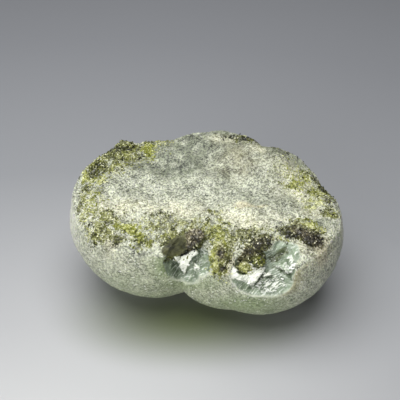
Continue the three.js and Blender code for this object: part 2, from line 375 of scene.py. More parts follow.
# %% Field
# The chips lie right of the first x and left of the second, in front of this y and above this z.
CHIPS_LEFT, CHIPS_RIGHT, CHIPS_BACK, CHIPS_FOOT = -10.0, 20.5, -8.5, 8.0
# A turned mass reaches at most this many times its largest half size from its middle.
MASS_REACH = 1.4


def uncut_field(x, y, z, top):
    """How far a point lies outside the lobes or above the worn face, before anything is chipped."""
    lobes = np.full(np.broadcast(x, y, z).shape, 99, dtype=np.float32)
    for lx, ly, lz, radius in LOBES:
        lobes = np.minimum(lobes, np.sqrt((x - lx) ** 2 + (y - ly) ** 2 + (z - lz) ** 2) - radius)
    return np.maximum(lobes, z - top)


def hollow_field(x, y, z):
    """How far a point lies outside the scars."""
    return np.min([faceted(x, y, z, scar, SCAR_FACETS, SCAR_JITTER) for scar in SCARS], axis=0)


def near(places, at, half):
    """The slice of grid places that a mass of a half size can reach."""
    return slice(*np.searchsorted(places, (at - MASS_REACH * half, at + MASS_REACH * half)))


def stone_field():
    """The lobes and the worn face, with the chips and their marks cut in and the masses grown on."""
    x, y, z = (g.astype(np.float32) for g in (grid_x, grid_y, grid_z))
    gx, gy, gz = x[:, None, None], y[None, :, None], z[None, None, :]
    top = top_height(grid_x[:, None], grid_y[None, :]).astype(np.float32)
    field = uncut_field(gx, gy, gz, top[:, :, None])

    chips = (
        slice(*np.searchsorted(x, (CHIPS_LEFT, CHIPS_RIGHT))),
        slice(0, np.searchsorted(y, CHIPS_BACK)),
        slice(np.searchsorted(z, CHIPS_FOOT), None),
    )
    fx, fy, fz = gx[chips[0]], gy[:, chips[1]], gz[:, :, chips[2]]
    uncut = field[chips]
    hollow = hollow_field(fx, fy, fz)
    chipped = np.maximum(uncut, -hollow)
    across, up = seen(fx, fy, fz)
    for outline, rise, _, _ in MARKS.values():
        beyond = outside(outline, across, up)
        if rise > 0:
            stand = rise + PLATE_LEAN * (max(corner[1] for corner in outline) - up)
            plate = np.maximum(uncut + PLATE_INSET, np.maximum(beyond, -hollow - stand))
            chipped = np.minimum(chipped, plate)
        elif rise < 0:
            chipped = np.maximum(chipped, np.minimum(-beyond, -rise - hollow))
    field[chips] = chipped

    for name, mass in MASSES.items():
        part = tuple(near(g, at, max(mass[3:6])) for g, at in zip((x, y, z), mass))
        away = mass_field(name, gx[part[0]], gy[:, part[1]], gz[:, :, part[2]])
        field[part] = np.minimum(field[part], away)
    return np.maximum(field, -gz)


field = stone_field()
print("grid points inside the stone:", int((field < 0).sum()), "of", field.size)


# %% Surface net
def skin(field, places):
    """Points and quads of the surface where the field is zero."""
    cells, spots, quads = [], [], []
    for axis in range(3):
        b, c = (axis + 1) % 3, (axis + 2) % 3
        lower = np.moveaxis(field, axis, 0)[:-1]
        upper = np.moveaxis(field, axis, 0)[1:]
        i, j, k = np.nonzero((lower < 0) != (upper < 0))
        rest = [d for d in range(3) if d != axis]
        at = np.zeros((len(i), 3), dtype=int)
        at[:, axis], at[:, rest[0]], at[:, rest[1]] = i, j, k
        share = lower[i, j, k] / (lower[i, j, k] - upper[i, j, k])
        spot = np.stack([places[d][at[:, d]] for d in range(3)], axis=1)
        spot[:, axis] += share * (places[axis][i + 1] - places[axis][i])
        ring = []
        for back_b, back_c in ((1, 1), (0, 1), (0, 0), (1, 0)):
            cell = at.copy()
            cell[:, b] -= back_b
            cell[:, c] -= back_c
            ring.append(np.ravel_multi_index(cell.T, field.shape))
        ring = np.stack(ring, axis=1)
        outward = lower[i, j, k] < 0
        quads.append(np.where(outward[:, None], ring, ring[:, ::-1]))
        cells.append(ring.ravel())
        spots.append(np.repeat(spot, 4, axis=0))
    used, number = np.unique(np.concatenate(cells), return_inverse=True)
    spots = np.concatenate(spots)
    count = np.bincount(number)
    points = np.stack([np.bincount(number, spots[:, d]) / count for d in range(3)], axis=1)
    return points, np.searchsorted(used, np.concatenate(quads))


points, quads = skin(field, (grid_x, grid_y, grid_z))
print("skin:", len(points), "points,", 2 * len(quads), "triangles")

# %% [markdown]
# ## Zones
# Every colour and every bump has its place on the stone. Each zone is a number from 0 to 1 at every
# point of the skin, worked out from the same formulas as the form. Vertex painting by hand could do
# this too, but a formula keeps the colours on their ledges when the form is changed.

# %% Spots of the skin
# Each spot of the worn face: x, y, width, depth, how far it turns in degrees, and how strong it is.
CREAM_SPOTS = [
    (-13.0, -5.6, 5.2, 1.5, 0, 1.0),
    (-3.6, -5.6, 3.6, 1.5, 0, 0.9),
    (7.2, -8.6, 3.8, 1.8, -12, 1.0),
    (-18.3, -5.2, 2.4, 2.2, 0, 0.8),
    (13.6, -8.0, 3.2, 1.2, -8, 0.6),
    (17.6, 0.4, 3.4, 3.6, 0, 0.7),
    (16.4, 5.2, 3.0, 2.2, 0, 0.8),
    (19.6, -6.2, 2.2, 2.4, 0, 0.7),
    (3.0, 12.6, 1.8, 0.8, -15, 0.9),
    (9.9, 9.2, 1.6, 0.7, -15, 0.8),
]
SHADED_SPOTS = [
    (-11.4, 7.3, 2.2, 1.0, 10, 1.2),
    (-6.4, 5.3, 1.9, 0.9, 10, 1.2),
    (-1.6, 7.9, 3.8, 1.2, 50, 1.3),
    (0.6, 11.0, 1.6, 1.2, 50, 1.0),
    (-4.0, 11.8, 4.2, 2.2, 0, 0.6),
    (-8.4, 9.4, 3.4, 1.6, 0, 0.6),
    (2.4, 10.4, 2.4, 2.4, 0, 0.8),
    (8.0, 9.4, 3.0, 2.4, 0, 0.75),
    (3.9, 3.4, 1.3, 1.3, 0, 0.7),
    (5.2, 5.0, 3.2, 1.6, 0, 0.45),
    (12.6, 9.6, 2.6, 1.3, 0, 1.0),
    (13.6, -3.6, 3.4, 2.2, 0, 0.5),
    (9.6, -1.4, 2.4, 1.4, 0, 0.35),
    (12.8, 4.0, 2.4, 2.0, 0, 0.35),
    (-5.2, -8.0, 3.0, 0.7, 0, 0.5),
    (1.0, -10.0, 2.4, 0.9, 0, 0.5),
]
# Two spots as the camera sees them: a bare grey facet right of the dark mass, and a white bruise below it.
GREY_FACET = (22.3, 2.7, 0.9, 1.4, 0)
BRUISE = (18.0, -1.3, 1.0, 0.9, 0)
# Where green light comes out of the balls, by the place as the camera sees it.
GLOWS = [
    (-7.6, -5.4, 2.0, 2.2, 0, 0.9),
    (-3.6, -8.6, 5.0, 1.4, 0, 0.7),
    (8.4, -12.6, 6.0, 1.7, 0, 0.9),
    (-16.0, -9.0, 6.0, 2.0, 0, 0.4),
]
WARM_SPOTS = [
    (6.2, 6.8, 3.0, 3.2, 0, 0.4),
    (7.0, -5.0, 0.9, 0.4, 0, 2.6),
    (9.2, -5.4, 1.2, 0.3, 0, 1.8),
    (20.8, -14.6, 1.8, 1.6, 0, 1.2),
    (-16.4, -12.4, 1.2, 0.9, 0, 0.5),
    (1.6, -16.6, 3.0, 1.4, 0, 0.5),
    (2.9, -17.0, 1.6, 2.0, 0, 0.8),
]
print(len(CREAM_SPOTS), "cream,", len(SHADED_SPOTS), "shaded and", len(WARM_SPOTS), "warm spots")


# %% Soft steps, noise and ovals
def smooth(value, start, end):
    """0 before start, 1 after end, and a soft step between."""
    share = np.clip((value - start) / (end - start), 0, 1)
    return share * share * (3 - 2 * share)


def shifted(seed):
    """How far a noise is moved, so that two of them don't show the same lumps."""
    return Vector((seed * 7.1, seed * 3.7, seed * 5.3))


def lumps(spots, size, seed):
    """Soft noise from about -1 to 1 with lumps of a size in mm."""
    shift = shifted(seed)
    return np.array([noise.noise(Vector(spot) / size + shift) for spot in spots])


def crystal_tips(spots, size, seed):
    """Rounded crystal tips of a size in mm: 1 in the middle of each, 0 in the cracks between them."""
    shift = shifted(seed)
    tips = []
    for spot in spots:
        first, second = noise.voronoi(Vector(spot) / size + shift)[0][:2]
        tips.append(second - first)
    return np.array(tips)


def broken_cells(spots, size, seed):
    """Angular cells of a size in mm: a number from 0 to 1 for each, and the height of its tilted face."""
    shift = shifted(seed)
    numbers, heights = [], []
    for spot in spots:
        place = Vector(spot) / size + shift
        middle = noise.voronoi(place)[1][0]
        tilt = 2 * noise.cell_vector(31 * middle) - Vector((1, 1, 1))
        numbers.append(0.5 + 0.5 * tilt.z)
        heights.append(tilt.dot(place - middle))
    return np.array(numbers), np.array(heights)


def oval(x, y, spot):
    """1 in the middle of a turned oval spot, falling to 0 round it."""
    turn = math.radians(spot[4])
    dx, dy = x - spot[0], y - spot[1]
    across, along = dx * math.cos(turn) + dy * math.sin(turn), dy * math.cos(turn) - dx * math.sin(turn)
    return np.exp(-0.5 * ((across / spot[2]) ** 2 + (along / spot[3]) ** 2))


def strongest(spots, x, y):
    """The strength of the strongest spot at each point."""
    return np.max([spot[5] * oval(x, y, spot) for spot in spots], axis=0)


print("a soft step is at", smooth(0.25, 0.0, 1.0), "after a quarter of its way")

# %% Zones of the skin
BROAD_LUMP, MID_LUMP, FINE_LUMP = 3.0, 1.3, 0.4
LEFT_CHIP_FOOT, LEFT_CHIP_BACK = 14, -8
# How far the tan skin round the right chip reaches from its rim.
LIP_REACH = 1.1

# In each soft step the numbers say, in mm, where a zone starts and where it is full.
x, y, z = points.T
uncut = uncut_field(x, y, z, top_height(x, y))
hollow = hollow_field(x, y, z)
mass_near = np.array([mass_field(name, x, y, z) for name in MASSES])
on_mass = smooth(-mass_near.min(axis=0), -0.35, -0.05)
chip = smooth(-uncut, 0.12, 0.4) * (1 - on_mass) * (z > CHIPS_FOOT) * (y < CHIPS_BACK)
on_top = smooth(z - top_height(x, y), -0.45, -0.1) * (1 - chip)
broad_lumps = lumps(points, BROAD_LUMP, 1)
mid_lumps = lumps(points, MID_LUMP, 11)
seen_across, seen_up = seen(x, y, z)
ragged_edge = 0.1 * lumps(points, FINE_LUMP, 14)


def inside_of(outline, border):
    """1 inside an outline and 0 outside it, with a ragged border of a width in mm."""
    return smooth(-outside(outline, seen_across, seen_up) + ragged_edge, -border, border)


white, murk = np.zeros(len(points)), np.zeros(len(points))
for outline, _, whiteness, darkness in MARKS.values():
    covered = inside_of(outline, 0.08) * smooth(chip, 0.2, 0.5)
    white = np.where(covered > 0, white + covered * (whiteness - white), white)
    murk = np.where(covered > 0, murk + covered * (darkness - murk), murk)
in_left_chip = (z > LEFT_CHIP_FOOT) & (y < LEFT_CHIP_BACK)
on_wall, on_brown = inside_of(WALL, 0.1) * in_left_chip, inside_of(BROWN_TOP, 0.1) * in_left_chip
uneven = 1 + 0.5 * broad_lumps + 0.6 * mid_lumps
# Painted shade: the worn face is greyer towards the back.
shade_to_back = 0.35 * smooth(y, -1, 12)
# Right of the dark mass the skin of the ball reaches up over the rim.
ball_rim = smooth(seen_across + 0.5 * broad_lumps, 20.8, 21.6) * smooth(-seen_up, -4.4, -3.4)
on_top *= 1 - ball_rim
cream = np.clip(strongest(CREAM_SPOTS, x, y) * uneven, 0, 1) * on_top
shade = np.clip((1.3 * strongest(SHADED_SPOTS, x, y) + shade_to_back) * (uneven + 0.6 * mid_lumps), 0, 1) * on_top
shade = np.maximum(shade, oval(seen_across, seen_up, GREY_FACET) * (y < 0) * (1 + 0.6 * mid_lumps))
warm = np.clip(strongest(WARM_SPOTS, x, y) * uneven, 0, 1) * smooth(z, 14, 17)
# The skin is pale at both ends of the stone: a painted sheen on its flanks.
sheen_and_bruise = np.maximum(smooth(-x, 21.4, 25.4) * smooth(z, 3, 15), smooth(x, 21.8, 25.8) * smooth(z, 4, 17))
sheen_and_bruise = np.clip(sheen_and_bruise * (1 + 0.5 * broad_lumps), 0, 1) * (1 - 0.7 * ball_rim)
# The white bruise is added to the painted sheen and to the cream.
bruised = oval(seen_across, seen_up, BRUISE) * (y < 0)
sheen_and_bruise, cream = np.maximum(sheen_and_bruise, bruised), np.maximum(cream, bruised)
# Green light comes out low down all round, and where the balls glow.
glow = np.maximum(0.7 * smooth(-z, -13, -2), strongest(GLOWS, seen_across, seen_up) * (y < 0))
glow = np.clip(glow, 0, 1)
lip = np.exp(-((hollow / LIP_REACH) ** 2)) * (1 - chip) * (1 - on_top)
tan = lip * smooth(x, 12.5, 14.5) * smooth(z, 10.5, 13) * smooth(-z, -19.5, -17.5)
print("zones: chip", round(float(chip.mean()), 3), "top", round(float(on_top.mean()), 3))

# %% Patches of epidote
# Each patch: x, y, width, depth, its turn in degrees, then how dense, how dark and how yellow-green it is.
PATCHES = [
    (-16.0, 10.0, 3.2, 1.7, 8, 1.0, 0.60, 0.30),
    (-15.9, 12.2, 1.8, 0.9, 0, 1.0, 0.90, 0.10),
    (-13.0, 11.6, 1.1, 1.2, 0, 0.9, 0.60, 0.60),
    (-11.4, 11.3, 1.2, 1.6, 0, 1.0, 0.60, 1.00),
    (-10.8, 13.9, 2.0, 0.5, 0, 0.9, 0.80, 0.30),
    (-8.6, 13.2, 1.6, 1.2, 0, 0.4, 0.20, 0.60),
    (-20.4, 6.8, 1.7, 1.6, 30, 1.0, 0.60, 0.30),
    (-21.2, 4.9, 0.9, 1.0, 0, 1.2, 1.00, 0.00),
    (-22.6, 4.2, 0.8, 1.8, 0, 0.8, 0.20, 0.80),
    (-20.3, 2.8, 1.7, 0.8, 10, 0.7, 0.25, 0.70),
    (-16.8, 6.8, 2.4, 1.7, 20, 0.5, 0.35, 0.30),
    (-22.2, 0.8, 0.9, 1.0, 0, 0.5, 0.60, 0.30),
    (-22.2, -2.6, 0.7, 1.0, 0, 0.5, 0.65, 0.20),
    (-22.8, -4.7, 0.5, 1.0, 0, 0.7, 0.70, 0.20),
    (-21.0, -2.2, 1.6, 2.6, 0, 0.4, 0.20, 0.50),
    (-21.3, -6.4, 1.1, 1.3, 0, 0.45, 0.10, 0.50),
    (-18.0, -7.4, 2.6, 1.5, -10, 0.5, 0.45, 0.20),
    (-18.3, -10.2, 1.9, 1.3, -20, 0.75, 0.50, 0.10),
    (-19.2, -10.8, 0.7, 0.7, 0, 0.8, 0.60, 0.30),
    (-15.2, -12.2, 0.9, 0.6, 0, 0.7, 0.80, 0.10),
    (-13.6, -9.8, 2.4, 0.7, -12, 1.0, 0.40, 1.00),
    (-10.9, -12.2, 1.4, 1.1, 0, 0.8, 0.50, 0.80),
    (1.4, -6.4, 1.2, 0.35, -15, 0.7, 0.60, 0.20),
    (2.6, -7.4, 0.5, 0.8, 0, 0.5, 0.50, 0.20),
    (-9.8, -8.4, 2.0, 1.0, 0, 0.35, 0.35, 0.20),
    (-7.2, -6.9, 1.1, 0.5, 0, 0.65, 0.60, 0.15),
    (-6.8, -9.0, 3.2, 1.4, 0, 0.5, 0.30, 0.10),
    (-6.6, -11.2, 2.2, 1.0, 10, 0.5, 0.35, 0.15),
    (-3.4, -9.4, 2.6, 1.4, 0, 0.5, 0.32, 0.05),
    (0.4, -9.8, 1.6, 1.2, 0, 0.5, 0.40, 0.30),
    (2.2, -10.8, 1.6, 1.7, 0, 0.8, 0.35, 0.80),
    (4.8, -12.4, 2.0, 1.7, 0, 0.6, 0.30, 0.20),
    (7.1, -12.2, 2.2, 1.4, 0, 0.7, 0.55, 0.05),
    (10.2, -11.4, 1.8, 0.9, 0, 0.35, 0.30, 0.30),
    (12.6, -13.4, 1.6, 1.0, 0, 0.35, 0.20, 0.50),
    (15.9, -11.7, 1.8, 0.7, -8, 1.0, 0.80, 0.00),
    (18.6, -10.2, 1.5, 0.9, 0, 1.1, 0.10, 1.00),
    (16.8, -9.2, 1.2, 0.8, 0, 0.7, 0.30, 0.50),
    (21.0, 0.4, 1.5, 1.4, 0, 0.8, 0.30, 0.50),
    (16.7, 1.6, 1.5, 0.9, 0, 0.8, 0.30, 0.70),
    (19.2, 5.6, 0.9, 1.4, 0, 0.8, 0.40, 0.50),
    (17.6, 4.2, 2.4, 2.4, 0, 0.35, 0.00, 0.50),
    (21.8, 3.2, 0.5, 2.8, 20, 1.1, 0.90, 0.10),
    (22.6, -2.0, 0.4, 1.6, 10, 0.9, 0.80, 0.10),
    (22.5, -5.6, 1.4, 0.9, -20, 0.9, 0.45, 0.40),
    (20.0, -3.0, 1.6, 2.2, 0, 0.45, 0.05, 0.45),
    (9.7, 12.2, 3.2, 0.9, -12, 1.3, 1.00, 0.10),
    (11.2, 11.2, 1.4, 0.5, -20, 0.6, 0.50, 0.20),
]
# Brown-black cores within the crystals, and painted shade in the gap between the right shelf and mass, as
# the camera sees them: across, up, width, height, how far each turns in degrees, and how strong it is.
CORES_AND_SHADE = [
    (3.1, -2.8, 0.6, 1.1, 0, 0.85),
    (3.4, -5.6, 0.4, 0.5, 0, 0.80),
    (8.4, -2.4, 3.2, 0.8, 33, 0.9),
    # Painted shade in the black gap between the right dark shelf and the right dark mass.
    (18.6, 1.3, 1.8, 0.8, -30, 1.2),
    (21.2, -0.4, 1.8, 1.2, -20, 1.0),
]
# How dark and how yellow-green the crystals on each mass are.
MASS_TONES = {
    "left chip wall": (0.5, 0.25),
    "left chip top": (0.8, 0.05),
    "hanging wedge": (0.15, 0.95),
    "right chip overhang": (0.6, 0.05),
    "lower ball": (0.2, 0.6),
    "upper ball": (0.85, 1.0),
    "right dark shelf": (0.9, 0.0),
    "right dark mass": (0.9, 0.0),
    "back left lump": (0.6, 0.25),
    "left corner lump": (0.7, 0.15),
}
print(len(PATCHES), "patches,", len(CORES_AND_SHADE), "cores and", len(MASS_TONES), "masses of epidote")

# %% Zones of epidote
# How dense the crystals on a mass are, and how far they spread round it in mm.
MASS_DENSITY, MASS_BORDER = 1.3, 0.3
# How dark the brown crystals are, and the cores with the painted shade among them.
BROWN_DARKNESS, CORE_AND_SHADE_DARKNESS = 0.7, 0.86

# A patch lies on the worn face or the front rim, and stops at the left end and at the chips.
patch_share = np.array([patch[5] * oval(x, y, patch) for patch in PATCHES])
front_rim = smooth(z, 15, 19) * smooth(-y, 8, 10)
patch_share *= np.maximum(on_top, front_rim) * (1 - smooth(-x, 22.9, 23.6)) * (1 - chip)
mass_share = MASS_DENSITY * np.exp(-np.clip(mass_near, 0, None) / MASS_BORDER)
shares = np.concatenate([patch_share, mass_share])
# Two sizes of noise make the border of the crust ragged.
ragged = lumps(points, 1.1, 2) + 0.6 * lumps(points, 0.5, 3)
densest = shares.max(axis=0)
crust = np.clip(densest + 0.5 * ragged * smooth(densest, 0.08, 0.4), 0, 1)
tones = np.array([patch[6:8] for patch in PATCHES] + [MASS_TONES[name] for name in MASSES])
# The shares are cubed, so that the strongest patch at a place sets its tone.
dark, yellow = tones.T @ (shares**3 / (shares**3).sum(axis=0))
core_and_shade = np.clip(strongest(CORES_AND_SHADE, seen_across, seen_up) * (1 + 0.8 * mid_lumps), 0, 1)
crust = np.maximum(crust, on_brown)
dark = dark + on_brown * (BROWN_DARKNESS - dark)
dark = np.maximum(dark, dark + core_and_shade * (CORE_AND_SHADE_DARKNESS - dark))
yellow = yellow * (1 - on_brown) * (1 - core_and_shade)
brown = np.maximum(core_and_shade, on_brown)
print("crust covers", round(float(crust.mean()), 3), "of the points")

# %% [markdown]
# ## Relief
# The skin is drusy: closely packed crystal tips, about half a millimetre wide on the worn face and finer
# on the balls. Where the stone broke, it is smooth and only gently rippled. A displacement texture would
# need a finer mesh than the stone has anywhere else, so the larger tips are real and the smaller ones
# are bumps in the material.

# %% Domes of the balls
# How many domes each lobe has, how high they are and how wide, as an angle from the lobe's middle.
DOMES_PER_LOBE, DOME_HEIGHT, DOME_SPREAD = 26, 0.45, 0.46
# Where two lobes meet, their domes are blended over about this many mm.
DOME_BLEND = 0.6


def normals_of(points, quads):
    """The direction straight out of the skin at each point."""
    a, b, c, d = (points[quads[:, k]] for k in range(4))
    face = np.cross(c - a, d - b)
    total = np.zeros_like(points)
    for k in range(4):
        for axis in range(3):
            total[:, axis] += np.bincount(quads[:, k], face[:, axis], minlength=len(points))
    return total / np.maximum(np.linalg.norm(total, axis=1)[:, None], 1e-9)


def dome_relief(points):
    """The low swells of each ball, blended where the balls meet."""
    away = np.array([np.linalg.norm(points - lobe[:3], axis=1) - lobe[3] for lobe in LOBES])
    part = np.exp(-(away - away.min(axis=0)) / DOME_BLEND)
    part = part / part.sum(axis=0)
    relief = np.zeros(len(points))
    for number, lobe in enumerate(LOBES):
        way = (points - lobe[:3]) / np.linalg.norm(points - lobe[:3], axis=1)[:, None]
        swell = np.full(len(points), -0.5 * DOME_HEIGHT)
        for i, direction in enumerate(spiral(DOMES_PER_LOBE)):
            rise = DOME_HEIGHT * (0.4 + 0.6 * float(chance(number * 100 + i)))
            angle = np.arccos(np.clip(way @ direction, -1, 1))
            swell += rise * np.clip(1 - (angle / DOME_SPREAD) ** 2, 0, None)
        relief += part[number] * swell
    return relief


domes = dome_relief(points)
print("domes from", round(float(domes.min()), 2), "to", round(float(domes.max()), 2), "mm")

# %% Relief of the skin
# The size of each kind of lump, tip, block or facet in mm, and how far it rises.
TIP_SIZE, TIP_RISE = 0.8, 0.14
FINE_SIZE, FINE_RISE, BROAD_RISE = 0.45, 0.08, 0.12
CRUST_SIZE, CRUST_RISE = 0.9, 0.3
BLOCK_SIZE, BLOCK_RISE = 0.9, 0.35
FACET_SIZE, FACET_RISE = 1.4, 0.34
# The low band of the worn face is broken into small ledges.
LEDGE_SIZE, LEDGE_RISE = 1.4, 0.3
# Crystals of one clump are about as light as each other.
CLUMP_SIZE = 1.1

normals = normals_of(points, quads)
on_ball = (1 - on_top) * (1 - chip) * (1 - on_mass)
tips = crystal_tips(points, TIP_SIZE, 4)
relief = on_ball * domes + BROAD_RISE * broad_lumps * (on_top + 0.3 * on_ball)
relief += TIP_RISE * (tips - 0.4) * (on_top + 0.25 * on_ball)
relief += FINE_RISE * lumps(points, FINE_SIZE, 5) * (1 - chip)
relief += CRUST_RISE * crust * (crystal_tips(points, CRUST_SIZE, 6) - 0.3)
block, block_face = broken_cells(points, BLOCK_SIZE, 7)
relief += BLOCK_RISE * on_mass * (block_face + 0.5 * block - 0.25)
facet, facet_face = broken_cells(points, FACET_SIZE, 8)
relief += FACET_RISE * chip * (1 - 0.7 * white) * facet_face
clump = broken_cells(points, CLUMP_SIZE, 12)[0]
ledge, ledge_face = broken_cells(points, LEDGE_SIZE, 9)
relief += LEDGE_RISE * on_top * smooth(-y, 6.0, 9.0) * (0.6 * ledge_face + ledge - 0.5)
# The worn flat foot stays flat.
relief *= smooth(z, 0.0, 1.2)
points = points + normals * relief[:, None]
print("relief from", round(float(relief.min()), 2), "to", round(float(relief.max()), 2), "mm")

# %% The stone's mesh
# The painted highlight along the edge of the chips: how far it reaches into the scars and below the skin, in
# mm.
EDGE_IN, EDGE_BELOW = 0.22, 0.35


def mesh_object(name, points, faces, zones=None):
    """A new object from points in mm and faces, with its zones as attributes of the points."""
    mesh = bpy.data.meshes.new(name)
    mesh.from_pydata((np.asarray(points) * MM).tolist(), [], faces)
    for zone, values in (zones or {}).items():
        mesh.attributes.new(zone, "FLOAT", "POINT").data.foreach_set("value", values.astype(np.float32))
    mesh.update()
    piece = bpy.data.objects.new(name, mesh)
    bpy.context.collection.objects.link(piece)
    return piece


# The painted highlight along the edge of the chips, where the scars meet the skin.
edge = np.exp(-((hollow / EDGE_IN) ** 2) - (uncut / EDGE_BELOW) ** 2)
edge = edge * (1 - on_top) * (1 - on_mass) * (1 - 0.8 * tan)
edge *= smooth(seen_across, -7.0, -5.6)
zones = dict(chip=chip, top=on_top, white=white, murk=murk, cream=cream, shade=shade, warm=warm, tan=tan,
             edge=edge, facet=facet, wall=on_wall, sheen_and_bruise=sheen_and_bruise, glow=glow, crust=crust, clump=clump, dark=dark,
             yellow=yellow, brown=brown)
stone = mesh_object("prehnite_body", points, quads.tolist(), zones)
stone.data.shade_smooth()
print(stone.name, "has", len(stone.data.vertices), "points and", len(zones), "zones")

# %% [markdown]
# ## Nodes and colours
# A finish is built as a painter would, in layers, each with its own place and strength. The nodes could
# be laid out by hand in the shader editor. Here one function adds a node with its settings and links,
# and a finish reads from the top down. Colours are the sRGB hex values that a colour picker shows, and
# one function turns them to the linear values that the shader wants.

# %% Helpers for materials
def linear(colour):
    """An sRGB hex colour as linear red, green, blue and full cover."""
    channels = [int(colour[k:k + 2], 16) / 255 for k in (1, 3, 5)]
    return [c / 12.92 if c <= 0.04045 else ((c + 0.055) / 1.055) ** 2.4 for c in channels] + [1.0]


def add(tree, kind, inputs, out=0, stops=(), **settings):
    """Adds a node and gives back one of its outputs. Inputs are values or outputs of other nodes, in the
    node's order, or by number or name. Stops are the places and colours of a colour ramp."""
    made = tree.nodes.new("ShaderNode" + kind)
    for name, value in settings.items():
        setattr(made, name, value)
    for name, value in inputs.items() if isinstance(inputs, dict) else enumerate(inputs):
        if isinstance(value, bpy.types.NodeSocket):
            tree.links.new(value, made.inputs[name])
        else:
            made.inputs[name].default_value = value
    # A new ramp comes with two stops.
    for number, (position, colour) in enumerate(stops):
        elements = made.color_ramp.elements
        element = elements[number] if number < 2 else elements.new(position)
        element.position = position
        element.color = linear(colour)
    return made.outputs[out] if len(made.outputs) else None


def layered(tree, colour, *layers):
    """A colour with layers over it. Each layer is where it lies, how much it covers there and its colour."""
    for where, cover, layer in layers:
        share = where if cover == 1 else add(tree, "Math", (where, cover), operation="MULTIPLY")
        under, over = (linear(shade) if isinstance(shade, str) else shade for shade in (colour, layer))
        colour = add(tree, "Mix", {0: share, 6: under, 7: over}, out=2, data_type="RGBA")
    return colour


def millimetres(tree):
    """The place on the stone in mm, so that a pattern's scale is one over its size."""
    place = add(tree, "TexCoord", (), out="Object")
    return add(tree, "VectorMath", {0: place, 3: 1 / MM}, operation="SCALE")


def new_material(name):
    """A material with an empty tree, which its own function fills."""
    material = bpy.data.materials.new(name)
    material.use_nodes = True
    material.node_tree.nodes.clear()
    return material, material.node_tree


def finished(material, surface):
    """Gives a material its shader, with the values and outputs that make its surface."""
    shader = add(material.node_tree, "BsdfPrincipled", surface)
    add(material.node_tree, "OutputMaterial", {"Surface": shader})
    print(material.name, "has", len(material.node_tree.nodes), "nodes")
    return material


print("the hex grey #808080 is", round(linear("#808080")[0], 3), "as a linear value")

# %% [markdown]
# ## Drusy prehnite
# The balls are covered with crystal tips that scatter the light, so the skin looks frosted. In the chips
# the same mineral is bare, and looks like bluish glass. Two materials could be given to the two kinds of
# faces, but they would meet along a hard line. One material holds both, and the zones blend them.

# %% The frosted skin
# A single grain, a cluster of grains and a cloud of clusters.
GRAIN_MM, CLUSTER_MM, CLOUD_MM = 0.22, 0.8, 2.6
# Each colour of the skin, from the dark between the crystal tips to the light on them.
SKIN_COLOURS = {
    "ball": ("#5b634d", "#eceed6"),
    "glow": ("#65774c", "#a9b98a"),
    "face": ("#292f22", "#e2e6cf"),
    "grey": ("#10140c", "#949b84"),
    "cream": ("#82825e", "#fffee4"),
    "green": ("#5f623c", "#cacda0"),
    "tan": ("#8a8358", "#b8b185"),
    "beige": ("#857a54", "#f0e6c0"),
}
# The painted sheen at the ends and on the bruise, and the painted glints: this share of grains as white
# specks.
SHEEN_AND_BRUISE_COLOUR, PAINTED_GLINT, PAINTED_GLINT_SHARE = "#eef0e2", "#fbfcf2", 0.03


def cells(tree, place, size):
    """Three random numbers from 0 to 1 for each cell of a size in mm."""
    found = add(tree, "TexVoronoi", {"Vector": place, "Scale": 1 / size}, out="Color")
    return add(tree, "SeparateColor", (found,)).node.outputs


def crystal_tone(tree, place, grain):
    """How light the skin is, from 0 to 1: mostly by the grain, with softer clusters and clouds. Noise stays
    near its middle, so that the values there are spread out to reach from 0 to 1."""
    tone = add(tree, "MapRange", (grain, 0.25, 0.75))
    for share, size in ((0.3, CLUSTER_MM), (0.2, CLOUD_MM)):
        soft = add(tree, "TexNoise", {"Vector": place, "Scale": 1 / size, "Detail": 3.0})
        tone = add(tree, "Mix", {0: share, 2: tone, 3: add(tree, "MapRange", (soft, 0.35, 0.65))})
    return tone


def skin_colour(tree, zone, tone):
    """The balls, green where light comes out of them and with a painted sheen at both ends, and the worn face
    with its grey and cream places.
    """
    skin = {name: layered(tree, dark, (tone, 1.0, light)) for name, (dark, light) in SKIN_COLOURS.items()}
    ball = layered(tree, skin["ball"], (zone["sheen_and_bruise"], 0.6, SHEEN_AND_BRUISE_COLOUR), (zone["glow"], 1.0, skin["glow"]),
                   (zone["shade"], 0.75, skin["grey"]))
    face = layered(tree, skin["face"], (zone["shade"], 0.9, skin["grey"]),
                   (zone["cream"], 0.8, skin["cream"]), (zone["crust"], 0.7, skin["green"]))
    return layered(tree, ball, (zone["top"], 1.0, face), (zone["tan"], 0.7, skin["tan"]),
                   (zone["warm"], 0.55, skin["beige"]))


print(len(SKIN_COLOURS), "colours of the skin, with grains of", GRAIN_MM, "mm")

# %% The glass of the chips
# The fibres that the chips broke along: their direction, and the length and width of their streaks in mm.
FIBRE_WAYS = (((0.8, 0.2, 0.56), 1.1), ((-0.56, 0.2, 0.8), 0.24))
# Colours of the glass, of its glints, and of the painted highlight along the edge of the chips.
GLASS_DARK, GLASS_LIGHT, GLINT, RIM_HIGHLIGHT = "#5a6852", "#a2b198", "#f3faee", "#dfe3d3"
# Dark where light goes in and doesn't come out, and white where there is air under a scale, by the streak.
MURK, AIRY, WALL_COLOURS = ("#1e2610", "#646e48"), ("#eef2e2", "#fdfff2"), ("#040500", "#6e6f44")


def fibres(tree, place, facet):
    """Noise from 0 to 1, drawn out along the fibres and different on each facet."""
    spread = []
    for way, size in FIBRE_WAYS:
        along = add(tree, "VectorMath", (place, way), out="Value", operation="DOT_PRODUCT")
        spread.append(add(tree, "Math", (along, size), operation="DIVIDE"))
    drawn_out = add(tree, "CombineXYZ", (*spread, facet))
    return add(tree, "TexNoise", {"Vector": drawn_out, "Scale": 1.0, "Detail": 2.0})


